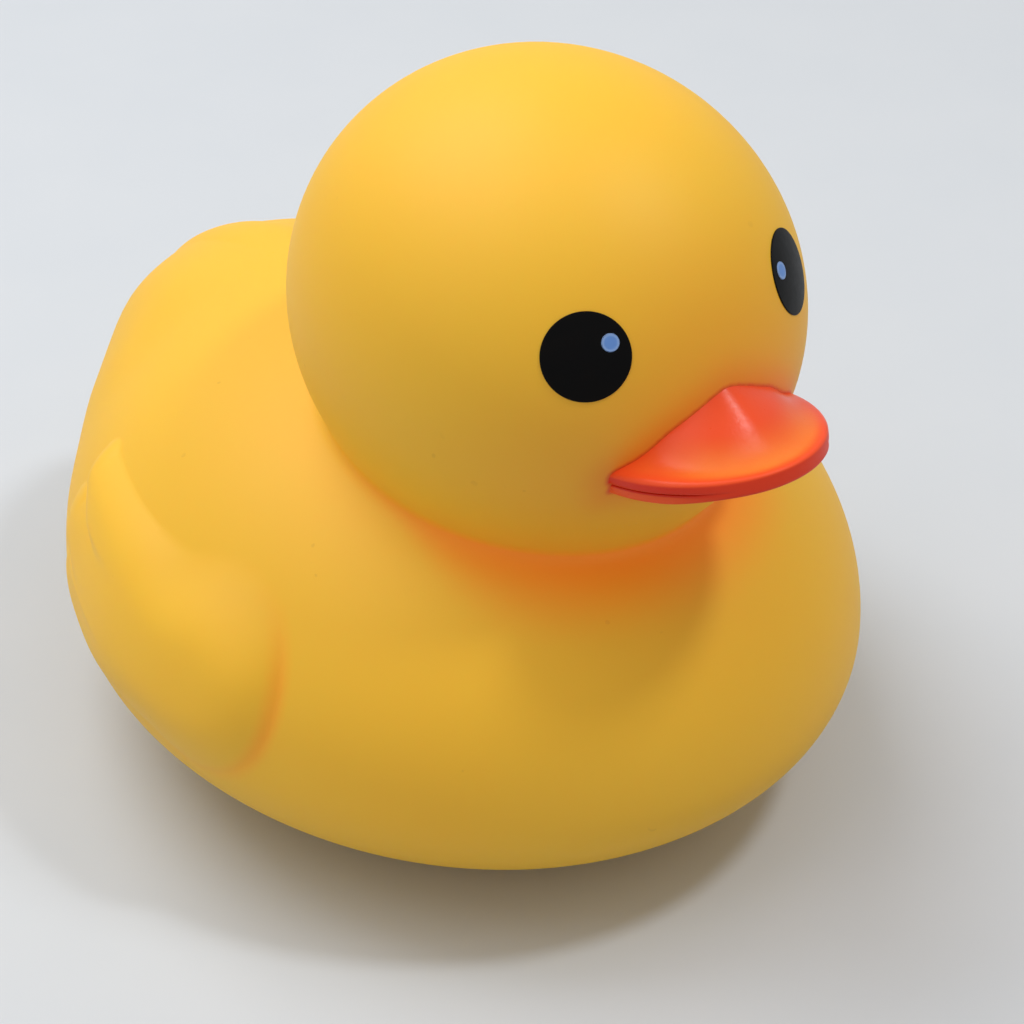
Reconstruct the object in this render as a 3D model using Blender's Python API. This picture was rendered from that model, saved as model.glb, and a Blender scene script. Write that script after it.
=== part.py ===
"""Rubber duck: one hollow vinyl moulding with a painted bill and printed eyes.

Metres, +Z up. The bill points to -Y, the duck's left side is +X, and the flat foot rests on z = 0.
The origin is under the middle of the whole duck.
"""

import math

import bmesh
import bpy
import numpy as np
from mathutils import Matrix, Vector

# Head: an egg lying along Y, a little longer than it is wide
HEIGHT = 0.142
HEAD_RADIUS = 0.0424
HEAD_HALF_LENGTH = 0.0462
HEAD_FORWARD = 0.0281

# Trunk: an ellipsoid whose reach differs to the front, the back, up and down
TRUNK_FORWARD = 0.0033
TRUNK_WIDEST_HEIGHT = 0.0305
TRUNK_HALF_WIDTH = 0.0696
TRUNK_FRONT_REACH = 0.0797
TRUNK_BACK_REACH = 0.0877
TRUNK_UP_REACH = 0.0521
TRUNK_DOWN_REACH = 0.0357
TRUNK_BACK_TAPER = 0.115
TRUNK_BACK_UNDERCUT = 0.42
TRUNK_END = TRUNK_BACK_REACH - TRUNK_FORWARD
NECK_BLEND = 0.006
FOOT_BLEND = 0.003

# Tail: three upright lobes that fan out from a point set in from the trunk's end
TAIL_INSET = 0.0376
TAIL_CENTRE_HEIGHT = 0.0460
TAIL_MIDDLE_LENGTH = 0.0421
TAIL_SIDE_LENGTH = 0.0400
TAIL_LOBE_HALF_WIDTH = 0.0262
TAIL_LOBE_RISE = 0.0268
TAIL_LOBE_DROP = 0.0190
TAIL_FAN_ANGLE = math.radians(8.5)
TAIL_GROOVE_BLEND = 0.0015
TAIL_ROOT_BLEND = 0.022

# Wings: raised pads in side view, each a shoulder disc and three feathers with stepped grooves
WING_LIFT = 0.0038
WING_TIP_LIFT = 0.0026
WING_SHOULDER_BACK = -0.0145
WING_SHOULDER_HEIGHT = 0.0435
WING_SHOULDER_RADIUS = 0.0182
WING_OUTLINE_BLEND = 0.004
WING_FRONT_ROUNDING = 0.014
WING_TIP_ROUNDING = 0.0062
WING_FADE_BOTTOM = 0.018
WING_FADE_TOP = 0.040
FEATHER_ROOT_RADIUS = 0.0174
FEATHER_STEP = 0.0009
FEATHER_STEP_START = 0.006
FEATHER_STEP_FULL = 0.0295
FEATHER_STEP_WIDTH = 0.0022
FEATHER_GROOVES = (0.0512, 0.0390)
FEATHER_TIPS = (
    # back, height, radius
    (0.0325, 0.0553, 0.0042),
    (0.0345, 0.0450, 0.0060),
    (0.0335, 0.0325, 0.0068),
)

# Bill: a flat oval lip, ridged on top, its back half hidden in the head
BILL_HALF_WIDTH = 0.0194
BILL_HALF_LENGTH = 0.0226
BILL_CENTRE_FORWARD = 0.0677
BILL_CENTRE_HEIGHT = 0.0930
BILL_TILT = math.radians(13.4)
BILL_RIDGE_RISE = 0.0137
BILL_RIDGE_RUN = 0.95
BILL_RIDGE_ROUNDING = 0.13
BILL_DISH_DEPTH = 0.0008
BILL_DISH_MIDDLE = 0.80
BILL_DISH_WIDTH = 0.20
LIP_THICKNESS = 0.0018
LIP_ROUNDING = 0.0005
LOWER_BILL_THICKNESS = 0.0017
LOWER_BILL_INSET = 0.0005
MOUTH_FADE_START = 0.40
MOUTH_FADE_END = 0.85
MOUTH_DEPTH = 0.0006
MOUTH_GAP = 0.0003

# Eyes: round prints, and on each a small light dot towards the bill
EYE_RADIUS = 0.0073
EYE_SIDE_ANGLE = math.radians(34.8)
EYE_LIFT_ANGLE = math.radians(20.8)
EYE_DOT_RADIUS = 0.0015
EYE_DOT_INWARD = 0.0038
EYE_DOT_UP = 0.00225
EYE_FILM = 0.0002
EYE_DOT_FILM = 0.0003
PRINT_ROOT = 0.001

# Moulding: the vinyl wall, and the vent that lets air in and out under the foot
WALL = 0.0022
CAVITY_WING_SHARE = 0.5
VENT_RADIUS = 0.0025
VENT_BACK = 0.022

# Fineness of the surfaces, in cuts and steps
SKIN_CUTS = 17
CAVITY_CUTS = 11
BILL_STEPS = 44
PRINT_STEPS = 40

CORE = np.array([0.0, -0.016, 0.060])
REACH = 0.3

VINYL_YELLOW = (0.90, 0.55, 0.055, 1)
BILL_ORANGE = (0.86, 0.10, 0.025, 1)
EYE_BLACK = (0.006, 0.005, 0.005, 1)
EYE_DOT_BLUE = (0.30, 0.42, 0.70, 1)


def clear_scene():
    for obj in list(bpy.data.objects):
        bpy.data.objects.remove(obj, do_unlink=True)


def material(name, colour, roughness):
    made = bpy.data.materials.new(name)
    made.use_nodes = True
    shader = made.node_tree.nodes["Principled BSDF"]
    shader.inputs["Base Color"].default_value = colour
    shader.inputs["Roughness"].default_value = roughness
    shader.inputs["Metallic"].default_value = 0.0
    made.diffuse_color = colour
    return made


def smooth_step(low, high, value):
    share = np.clip((value - low) / (high - low), 0, 1)
    return share * share * (3 - 2 * share)


def blend(first, second, width):
    """The union of two forms, with a fillet where they are within width of each other."""
    near = np.maximum(width - np.abs(first - second), 0) / width
    return np.minimum(first, second) - near**3 * width / 6


def ellipsoid(offsets, reaches):
    """Roughly the distance outside an ellipsoid; each point may be given reaches of its own."""
    scaled = offsets / reaches
    size = np.linalg.norm(scaled, axis=-1)
    slope = np.linalg.norm(scaled / reaches, axis=-1)
    return (size - 1) * size / np.maximum(slope, 1e-9)


def head(points):
    centre = np.array([0, -HEAD_FORWARD, HEIGHT - HEAD_RADIUS])
    reaches = np.array([HEAD_RADIUS, HEAD_HALF_LENGTH, HEAD_RADIUS])
    return ellipsoid(points - centre, reaches)


def trunk(points):
    offsets = points - np.array([0, -TRUNK_FORWARD, TRUNK_WIDEST_HEIGHT])
    backward = np.clip(offsets[:, 1] / TRUNK_BACK_REACH, 0, 1.2)
    width = TRUNK_HALF_WIDTH * (1 - TRUNK_BACK_TAPER * backward**2)
    length = np.where(offsets[:, 1] < 0, TRUNK_FRONT_REACH, TRUNK_BACK_REACH)
    down = TRUNK_DOWN_REACH * (1 - TRUNK_BACK_UNDERCUT * backward**2)
    height = np.where(offsets[:, 2] < 0, down, TRUNK_UP_REACH)
    return ellipsoid(offsets, np.stack([width, length, height], axis=1))


def tail_lobe(points, side):
    """One lobe of the tail: side is -1 for the duck's right, 0 for the middle and 1 for its left."""
    turn = side * TAIL_FAN_ANGLE
    length = TAIL_SIDE_LENGTH if side else TAIL_MIDDLE_LENGTH
    along = np.array([math.sin(turn), math.cos(turn), 0])
    across = np.array([math.cos(turn), -math.sin(turn), 0])
    offsets = points - np.array([0, TRUNK_END - TAIL_INSET, TAIL_CENTRE_HEIGHT])
    local = np.stack([offsets @ across, offsets @ along, offsets[:, 2]], axis=1)
    height = np.where(local[:, 2] < 0, TAIL_LOBE_DROP, TAIL_LOBE_RISE)
    width = np.full_like(height, TAIL_LOBE_HALF_WIDTH)
    return ellipsoid(local, np.stack([width, np.full_like(height, length), height], axis=1))


def tail(points):
    form = tail_lobe(points, 0)
    for side in (-1, 1):
        form = blend(form, tail_lobe(points, side), TAIL_GROOVE_BLEND)
    return form


def feather_edge(back, up, tip):
    """Distance outside one feather in side view: a bar that narrows from the shoulder to its round tip."""
    tip_back, tip_height, tip_radius = tip
    length = math.hypot(tip_back - WING_SHOULDER_BACK, tip_height - WING_SHOULDER_HEIGHT)
    along_back = (tip_back - WING_SHOULDER_BACK) / length
    along_up = (tip_height - WING_SHOULDER_HEIGHT) / length
    narrowing = (FEATHER_ROOT_RADIUS - tip_radius) / length
    along = (back - WING_SHOULDER_BACK) * along_back + (up - WING_SHOULDER_HEIGHT) * along_up
    aside = np.abs((up - WING_SHOULDER_HEIGHT) * along_back - (back - WING_SHOULDER_BACK) * along_up)
    share = (along + aside * narrowing / math.sqrt(1 - narrowing**2)) / length
    share = np.clip(share, 0, 1)
    radius = FEATHER_ROOT_RADIUS + (tip_radius - FEATHER_ROOT_RADIUS) * share
    return np.hypot(along - share * length, aside) - radius


def wing_edge(back, up):
    """Distance outside the wing's whole outline in side view."""
    shoulder = np.hypot(back - WING_SHOULDER_BACK, up - WING_SHOULDER_HEIGHT) - WING_SHOULDER_RADIUS
    feathers = np.minimum.reduce([feather_edge(back, up, tip) for tip in FEATHER_TIPS])
    return blend(shoulder, feathers, WING_OUTLINE_BLEND)


def wing_lift(points):
    """How far the wings stand out of the flank: cushioned at the shoulder, stepped at the feathers."""
    back = points[:, 1]
    up = points[:, 2]
    tip_share = smooth_step(WING_SHOULDER_BACK, FEATHER_STEP_FULL, back)
    rounding = WING_FRONT_ROUNDING + (WING_TIP_ROUNDING - WING_FRONT_ROUNDING) * tip_share
    inward = np.clip(-wing_edge(back, up) / rounding, 0, 1)
    lift = WING_LIFT + (WING_TIP_LIFT - WING_LIFT) * tip_share
    stepping = smooth_step(FEATHER_STEP_START, FEATHER_STEP_FULL, back)
    for height in FEATHER_GROOVES:
        lift = lift - FEATHER_STEP * stepping * smooth_step(0, FEATHER_STEP_WIDTH, height - up)
    on_flank = smooth_step(TRUNK_HALF_WIDTH / 3, TRUNK_HALF_WIDTH * 0.6, np.abs(points[:, 0]))
    fade = smooth_step(WING_FADE_BOTTOM, WING_FADE_TOP, up)
    return lift * (1 - (1 - inward) ** 3) * on_flank * fade


def duck(points, wing_share=1.0):
    """Below zero inside the duck without its bill, zero on its skin."""
    body = blend(trunk(points), tail(points), TAIL_ROOT_BLEND) - wing_share * wing_lift(points)
    whole = blend(body, head(points), NECK_BLEND)
    return -blend(-whole, points[:, 2], FOOT_BLEND)


def detailed(points):
    """True where the skin bends tightly: round the neck, on the wings and along the tail's grooves."""
    body = np.minimum(trunk(points), tail(points))
    at_neck = np.abs(head(points) - body) < NECK_BLEND * 0.7
    on_side = np.abs(points[:, 0]) > TRUNK_HALF_WIDTH / 3
    at_wing = on_side & (wing_edge(points[:, 1], points[:, 2]) < WING_TIP_ROUNDING)
    sides = np.minimum(tail_lobe(points, -1), tail_lobe(points, 1))
    at_groove = np.abs(tail_lobe(points, 0) - sides) < TAIL_GROOVE_BLEND
    at_groove &= tail(points) < trunk(points)
    return at_neck | at_wing | at_groove


def creased(points):
    """True in the neck's crease, and behind the shoulder along the wing's edge and grooves."""
    back = points[:, 1]
    up = points[:, 2]
    nearest = np.abs(wing_edge(back, up))
    for height in FEATHER_GROOVES:
        nearest = np.minimum(nearest, np.abs(height - FEATHER_STEP_WIDTH / 2 - up))
    stepped = (back > FEATHER_STEP_START * 2) & (back < FEATHER_STEP_FULL * 1.5)
    on_side = np.abs(points[:, 0]) > TRUNK_HALF_WIDTH / 3
    at_step = stepped & on_side & (up > WING_FADE_BOTTOM * 1.5) & (nearest < FEATHER_STEP_WIDTH * 0.7)
    body = np.minimum(trunk(points), tail(points))
    return at_step | (np.abs(head(points) - body) < NECK_BLEND * 0.2)


def push_to_surface(mesh, form):
    """Slides each vertex along its ray from the core to where the form's surface is."""
    rays = np.array([vertex.co for vertex in mesh.verts]) - CORE
    rays /= np.linalg.norm(rays, axis=1)[:, None]
    near = np.zeros(len(rays))
    far = np.full(len(rays), REACH)
    for _ in range(40):
        middle = (near + far) / 2
        inside = form(CORE + rays * middle[:, None]) < 0
        near = np.where(inside, middle, near)
        far = np.where(inside, far, middle)
    for vertex, place in zip(mesh.verts, CORE + rays * near[:, None]):
        vertex.co = place


def blown_form(form, cuts, refinements):
    """A cube cut into a grid and blown up onto the form, with finer cells where each refinement asks."""
    mesh = bmesh.new()
    bmesh.ops.create_cube(mesh, size=2, matrix=Matrix.Translation(Vector(CORE)))
    bmesh.ops.subdivide_edges(mesh, edges=mesh.edges[:], cuts=cuts, use_grid_fill=True)
    for vertex in mesh.verts:
        side = Vector(vertex.co) - Vector(CORE)
        even = Vector(math.tan(value * math.pi / 4) for value in side)
        vertex.co = Vector(CORE) + even
    push_to_surface(mesh, form)
    for refine in refinements:
        centres = np.array([face.calc_center_median() for face in mesh.faces])
        chosen = [face for face, fine in zip(mesh.faces, refine(centres)) if fine]
        edges = {edge for face in chosen for edge in face.edges}
        bmesh.ops.subdivide_edges(mesh, edges=list(edges), cuts=1, use_grid_fill=True)
        push_to_surface(mesh, form)
    bmesh.ops.recalc_face_normals(mesh, faces=mesh.faces[:])
    return mesh


def turned_disc(profile, steps):
    """A closed disc turned about Z from a profile of (radius, height) that starts and ends on the axis."""
    mesh = bmesh.new()
    points = [mesh.verts.new((radius, 0, height)) for radius, height in profile]
    edges = [mesh.edges.new(pair) for pair in zip(points, points[1:])]
    bmesh.ops.spin(
        mesh,
        geom=points + edges,
        cent=(0, 0, 0),
        axis=(0, 0, 1),
        angle=math.tau,
        steps=steps,
        use_merge=True,
    )
    bmesh.ops.remove_doubles(mesh, verts=mesh.verts[:], dist=1e-7)
    bmesh.ops.recalc_face_normals(mesh, faces=mesh.faces[:])
    return mesh


def object_from(mesh, name, collection, finish):
    data = bpy.data.meshes.new(name)
    mesh.to_mesh(data)
    mesh.free()
    data.materials.append(finish)
    data.shade_smooth()
    data.set_sharp_from_angle(angle=math.radians(35))
    made = bpy.data.objects.new(name, data)
    collection.objects.link(made)
    return made


def tool(obj):
    """Marks an object that only shapes another one."""
    obj.hide_render = True
    obj.display_type = "WIRE"
    return obj


def bill_top(across, forward):
    """Height of the bill's upper face over the plane of its lip, from shares of its half sizes."""
    half = np.sqrt(np.maximum(1 - forward**2, 1e-6))
    aside = np.clip(np.abs(across) / half, 0, 1)
    ridge = BILL_RIDGE_RISE * smooth_step(0, BILL_RIDGE_RUN, 1 - forward)
    falling = np.hypot(aside, BILL_RIDGE_ROUNDING) - BILL_RIDGE_ROUNDING
    ridge *= 1 - falling / (math.hypot(1, BILL_RIDGE_ROUNDING) - BILL_RIDGE_ROUNDING)
    out = np.hypot(across, forward)
    bowl = np.clip(1 - ((out - BILL_DISH_MIDDLE) / BILL_DISH_WIDTH) ** 2, 0, 1)
    return ridge - BILL_DISH_DEPTH * bowl**2


def bill(collection, finish):
    """Upper and lower bill in one: an oval lip with the mouth as a groove round its side."""
    inset = LIP_ROUNDING / BILL_HALF_WIDTH
    groove = MOUTH_DEPTH / BILL_HALF_WIDTH
    lower = 1 - LOWER_BILL_INSET / BILL_HALF_WIDTH
    mouth = LIP_THICKNESS + MOUTH_GAP
    bottom = mouth + LOWER_BILL_THICKNESS
    profile = [(share, 0) for share in (0, 0.12, 0.26, 0.40, 0.54, 0.66, 0.76, 0.86, 0.93)]
    profile += [(1 - inset, 0), (1 - inset * 0.3, -LIP_ROUNDING * 0.3), (1, -LIP_ROUNDING)]
    profile += [(1, -LIP_THICKNESS), (lower - groove, -(LIP_THICKNESS + mouth) / 2)]
    profile += [(lower, -mouth), (lower, -bottom + LIP_ROUNDING)]
    profile += [(lower - inset, -bottom), (0.5, -bottom), (0, -bottom)]
    mesh = turned_disc(profile, BILL_STEPS)
    for vertex in mesh.verts:
        across, side, height = vertex.co
        forward = -side
        if height > -LIP_ROUNDING / 2:
            height += bill_top(across, forward)
        if height < -LIP_THICKNESS * 1.01 and math.hypot(across, forward) > 0.8:
            closed = smooth_step(MOUTH_FADE_START, MOUTH_FADE_END, forward)
            out = 1 + (1 / math.hypot(across, forward) - 1) * closed
            across *= out
            forward *= out
        vertex.co = (across * BILL_HALF_WIDTH, -forward * BILL_HALF_LENGTH, height)
    centre = Vector((0, -BILL_CENTRE_FORWARD, BILL_CENTRE_HEIGHT))
    place = Matrix.Translation(centre) @ Matrix.Rotation(-BILL_TILT, 4, "X")
    bmesh.ops.transform(mesh, matrix=place, verts=mesh.verts[:])
    return tool(object_from(mesh, "bill_form", collection, finish))


def print_on_head(name, side, inward, up, radius, film, collection, finish):
    """A round print: a thin disc wrapped onto the head, rooted in the wall below it."""
    centre = Vector((0, -HEAD_FORWARD, HEIGHT - HEAD_RADIUS))
    level = math.cos(EYE_LIFT_ANGLE)
    normal = Vector(
        (
            side * math.sin(EYE_SIDE_ANGLE) * level,
            -math.cos(EYE_SIDE_ANGLE) * level,
            math.sin(EYE_LIFT_ANGLE),
        )
    )
    reaches = Vector((HEAD_RADIUS, HEAD_HALF_LENGTH, HEAD_RADIUS))
    stretched = reaches * normal
    middle = centre + reaches * stretched / stretched.length
    to_bill = Vector((0, 0, -side)).cross(normal).normalized()
    to_top = to_bill.cross(normal) * side
    profile = [(0, film), (radius / 2, film), (radius, film)]
    profile += [(radius, -PRINT_ROOT), (radius / 2, -PRINT_ROOT), (0, -PRINT_ROOT)]
    mesh = turned_disc(profile, PRINT_STEPS)
    for vertex in mesh.verts:
        flat = middle + to_bill * (vertex.co.x + inward) + to_top * (vertex.co.y + up)
        ray = flat - centre
        scaled = Vector(value / reach for value, reach in zip(ray, reaches))
        vertex.co = centre + ray / scaled.length + ray.normalized() * vertex.co.z
    bmesh.ops.recalc_face_normals(mesh, faces=mesh.faces[:])
    return tool(object_from(mesh, name, collection, finish))


def vent(collection, finish):
    mesh = bmesh.new()
    bmesh.ops.create_cone(
        mesh,
        cap_ends=True,
        segments=24,
        radius1=VENT_RADIUS,
        radius2=VENT_RADIUS,
        depth=WALL * 4,
        matrix=Matrix.Translation((0, VENT_BACK, 0)),
    )
    return tool(object_from(mesh, "vent_hole", collection, finish))


def combine(target, other, operation):
    step = target.modifiers.new(other.name, "BOOLEAN")
    step.operation = operation
    step.solver = "EXACT"
    step.material_mode = "TRANSFER"
    step.object = other


def main():
    clear_scene()
    duck_parts = bpy.data.collections.new("rubber_duck")
    tools = bpy.data.collections.new("shaping_forms")
    for collection in (duck_parts, tools):
        bpy.context.scene.collection.children.link(collection)
    vinyl = material("yellow_vinyl", VINYL_YELLOW, 0.45)
    paint = material("bill_paint", BILL_ORANGE, 0.35)
    ink = material("eye_ink", EYE_BLACK, 0.4)
    dot = material("eye_dot_ink", EYE_DOT_BLUE, 0.4)

    skin = blown_form(duck, SKIN_CUTS, (detailed, creased))
    shell = object_from(skin, "duck_shell", duck_parts, vinyl)
    combine(shell, bill(tools, paint), "UNION")

    def cavity_form(points):
        return duck(points, CAVITY_WING_SHARE) + WALL

    hollow = blown_form(cavity_form, CAVITY_CUTS, ())
    cavity = tool(object_from(hollow, "cavity", tools, vinyl))
    combine(shell, cavity, "DIFFERENCE")
    combine(shell, vent(tools, vinyl), "DIFFERENCE")
    for side, name in ((-1, "right"), (1, "left")):
        eye = print_on_head(f"{name}_eye", side, 0, 0, EYE_RADIUS, EYE_FILM, tools, ink)
        combine(shell, eye, "UNION")
        spot = print_on_head(
            f"{name}_eye_dot",
            side,
            EYE_DOT_INWARD,
            EYE_DOT_UP,
            EYE_DOT_RADIUS,
            EYE_DOT_FILM,
            tools,
            dot,
        )
        combine(shell, spot, "UNION")


main()
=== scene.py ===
# %% [markdown]
# Rubber duck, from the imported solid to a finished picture
# The real duck is one hollow casting of soft yellow vinyl. Its bill is sprayed orange, and its eyes are
# printed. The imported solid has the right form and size, but its faces are a few millimetres wide.
# This lesson makes the same skin again in fine faces, adds the bill, the eyes and the vent, and gives each
# one its own finish. Then it sets the duck on a pale floor under soft lamps.

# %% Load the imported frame
import math

import bmesh
import bpy
import numpy as np
from mathutils import Matrix, Vector
from mathutils.bvhtree import BVHTree


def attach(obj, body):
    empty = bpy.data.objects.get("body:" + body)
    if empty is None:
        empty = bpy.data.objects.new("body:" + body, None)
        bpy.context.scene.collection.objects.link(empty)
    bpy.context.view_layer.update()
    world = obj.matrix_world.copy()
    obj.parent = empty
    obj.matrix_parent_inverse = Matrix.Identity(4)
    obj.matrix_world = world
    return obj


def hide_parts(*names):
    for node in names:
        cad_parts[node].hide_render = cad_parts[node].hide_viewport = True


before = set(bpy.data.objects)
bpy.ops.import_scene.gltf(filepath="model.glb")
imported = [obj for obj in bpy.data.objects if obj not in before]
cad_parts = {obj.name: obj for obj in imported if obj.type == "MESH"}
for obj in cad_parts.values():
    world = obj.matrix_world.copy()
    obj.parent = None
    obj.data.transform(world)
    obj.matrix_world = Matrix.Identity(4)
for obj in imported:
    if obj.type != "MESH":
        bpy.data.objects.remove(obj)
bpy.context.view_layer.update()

# %% [markdown]
# The sizes
# The skin could be smoothed out of the solid's own faces, but their corners would stay in it.
# The solid was made from a few formulas, so the same formulas with the same sizes give the true skin at any
# fineness. All sizes are in metres, with +Z up, -Y the way the bill points and +X the duck's left.

# %% Sizes of the head, the trunk and the tail
HEIGHT = 0.142
HEAD_RADIUS = 0.0424
HEAD_HALF_LENGTH = 0.0462
HEAD_FORWARD = 0.0281
HEAD_CENTRE = np.array([0, -HEAD_FORWARD, HEIGHT - HEAD_RADIUS])
HEAD_REACHES = np.array([HEAD_RADIUS, HEAD_HALF_LENGTH, HEAD_RADIUS])

TRUNK_FORWARD = 0.0033
TRUNK_WIDEST_HEIGHT = 0.0305
TRUNK_HALF_WIDTH = 0.0696
TRUNK_FRONT_REACH = 0.0797
TRUNK_BACK_REACH = 0.0877
TRUNK_UP_REACH = 0.0521
TRUNK_DOWN_REACH = 0.0357
TRUNK_BACK_TAPER = 0.115
TRUNK_BACK_UNDERCUT = 0.42
TRUNK_END = TRUNK_BACK_REACH - TRUNK_FORWARD
NECK_BLEND = 0.006
FOOT_BLEND = 0.003

TAIL_INSET = 0.0376
TAIL_CENTRE_HEIGHT = 0.0460
TAIL_MIDDLE_LENGTH = 0.0421
TAIL_SIDE_LENGTH = 0.0400
TAIL_LOBE_HALF_WIDTH = 0.0262
TAIL_LOBE_RISE = 0.0268
TAIL_LOBE_DROP = 0.0190
TAIL_FAN_ANGLE = math.radians(8.5)
TAIL_GROOVE_BLEND = 0.0015
TAIL_ROOT_BLEND = 0.022
print("Head", 2 * HEAD_RADIUS, "wide, trunk", 2 * TRUNK_HALF_WIDTH, "wide")

# %% Sizes of the tail's swells, and where the bill sits
TAIL_MIDDLE_SWELL = 0.0007
TAIL_SIDE_SWELL = 0.0010
TAIL_NOTCH_OUT = 0.0060
TAIL_SIDE_SWELL_FULL = 0.022
TAIL_SIDE_SWELL_FADE = 0.034
TAIL_SIDE_SWELL_END = 0.048
TAIL_SWELL_START = 0.046
TAIL_SWELL_FULL = 0.062
TAIL_SWELL_BOTTOM = 0.034
TAIL_SWELL_TOP = 0.047

BILL_HALF_WIDTH = 0.0194
BILL_HALF_LENGTH = 0.0226
BILL_CENTRE_FORWARD = 0.0677
BILL_CENTRE_HEIGHT = 0.0930
BILL_RIDGE_RISE = 0.0137
print("Bill", 2 * BILL_HALF_WIDTH, "wide, its middle", BILL_CENTRE_HEIGHT, "up")

# %% Sizes of the wings
WING_LIFT = 0.0038
WING_TIP_LIFT = 0.0026
WING_SHOULDER_BACK = -0.0145
WING_SHOULDER_HEIGHT = 0.0435
WING_SHOULDER_RADIUS = 0.0182
WING_OUTLINE_BLEND = 0.004
WING_FRONT_ROUNDING = 0.014
WING_TIP_ROUNDING = 0.0062
WING_FADE_BOTTOM = 0.018
WING_FADE_TOP = 0.040
WING_SOFT_BOTTOM = 0.047
WING_SOFT_TOP = 0.063
WING_SOFT_START = -0.008
WING_SOFT_END = 0.008
FEATHER_ROOT_RADIUS = 0.0174
FEATHER_STEP = 0.0009
FEATHER_STEP_START = 0.006
FEATHER_STEP_FULL = 0.0295
FEATHER_STEP_WIDTH = 0.0022
FEATHER_GROOVES = (0.0512, 0.0390)
FEATHER_TIPS = (
    # back, height, radius
    (0.0325, 0.0553, 0.0042),
    (0.0345, 0.0450, 0.0060),
    (0.0335, 0.0325, 0.0068),
)
print("Feathers on each wing:", len(FEATHER_TIPS))

# %% [markdown]
# Forms as formulas
# A soft, swelling body could be sculpted or built from subdivision surfaces. Here each form is a formula
# that gives roughly the distance of a point from its skin: below zero inside, above zero outside.
# Two forms are joined with a fillet by blending their distances, as the mould maker rounded the clay.

# %% Blend, ease and egg
def smooth_step(low, high, value):
    share = np.clip((value - low) / (high - low), 0, 1)
    return share * share * (3 - 2 * share)


def blend(first, second, width):
    """The union of two forms, with a fillet where they are within width of each other."""
    near = np.maximum(width - np.abs(first - second), 0) / width
    return np.minimum(first, second) - near**3 * width / 6


def ellipsoid(offsets, reaches):
    """Roughly the distance outside an ellipsoid; each point may be given reaches of its own."""
    scaled = offsets / reaches
    size = np.linalg.norm(scaled, axis=-1)
    slope = np.linalg.norm(scaled / reaches, axis=-1)
    return (size - 1) * size / np.maximum(slope, 1e-9)


def head(points):
    return ellipsoid(points - HEAD_CENTRE, HEAD_REACHES)


def trunk(points):
    offsets = points - np.array([0, -TRUNK_FORWARD, TRUNK_WIDEST_HEIGHT])
    backward = np.clip(offsets[:, 1] / TRUNK_BACK_REACH, 0, 1.2)
    width = TRUNK_HALF_WIDTH * (1 - TRUNK_BACK_TAPER * backward**2)
    length = np.where(offsets[:, 1] < 0, TRUNK_FRONT_REACH, TRUNK_BACK_REACH)
    down = TRUNK_DOWN_REACH * (1 - TRUNK_BACK_UNDERCUT * backward**2)
    height = np.where(offsets[:, 2] < 0, down, TRUNK_UP_REACH)
    return ellipsoid(offsets, np.stack([width, length, height], axis=1))


head_top = np.array([[0, -HEAD_FORWARD, HEIGHT]])
print("The head's top is", abs(round(float(head(head_top)[0]), 6)), "from its skin")

# %% [markdown]
# The tail
# The photo shows the rump's top edge with two small notches, so the tail is three soft lobes side by
# side. They could be sculpted. Three long eggs that fan out from one point give the lobes, a wide fillet
# runs them into the trunk, and a swell of a millimetre or less beside each notch makes the notches crisp.

# %% Tail lobes
def tail_lobe(points, side):
    """One lobe of the tail: side is -1 for the duck's right, 0 for the middle and 1 for its left."""
    turn = side * TAIL_FAN_ANGLE
    length = TAIL_SIDE_LENGTH if side else TAIL_MIDDLE_LENGTH
    along = np.array([math.sin(turn), math.cos(turn), 0])
    across = np.array([math.cos(turn), -math.sin(turn), 0])
    offsets = points - np.array([0, TRUNK_END - TAIL_INSET, TAIL_CENTRE_HEIGHT])
    local = np.stack([offsets @ across, offsets @ along, offsets[:, 2]], axis=1)
    height = np.where(local[:, 2] < 0, TAIL_LOBE_DROP, TAIL_LOBE_RISE)
    width = np.full_like(height, TAIL_LOBE_HALF_WIDTH)
    return ellipsoid(local, np.stack([width, np.full_like(height, length), height], axis=1))


def tail(points):
    form = tail_lobe(points, 0)
    for side in (-1, 1):
        form = blend(form, tail_lobe(points, side), TAIL_GROOVE_BLEND)
    return form


def tail_swell(points):
    """How far the tail's top swells between its two notches and outside them."""
    aside = np.abs(points[:, 0])
    from_notch = np.clip(1 - aside / TAIL_NOTCH_OUT, 0, 1)
    middle = TAIL_MIDDLE_SWELL * (1 - (1 - from_notch) ** 2.5)
    side = smooth_step(TAIL_NOTCH_OUT, TAIL_SIDE_SWELL_FULL, aside)
    side = TAIL_SIDE_SWELL * side * (1 - smooth_step(TAIL_SIDE_SWELL_FADE, TAIL_SIDE_SWELL_END, aside))
    behind = smooth_step(TAIL_SWELL_START, TAIL_SWELL_FULL, points[:, 1])
    return (middle + side) * behind * smooth_step(TAIL_SWELL_BOTTOM, TAIL_SWELL_TOP, points[:, 2])


print("Tail reaches back to", TRUNK_END - TAIL_INSET + TAIL_MIDDLE_LENGTH)

# %% [markdown]
# The wings
# On the real duck each wing is a low cushion cast with the flank: round and soft at the shoulder, crisp at
# the tip, where two level grooves part three feathers. A separate piece would show a seam that the casting
# doesn't have, so the wing only lifts the flank's own skin, by an outline drawn in side view: a disc for
# the shoulder and three bars that narrow from it to their tips.

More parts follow.
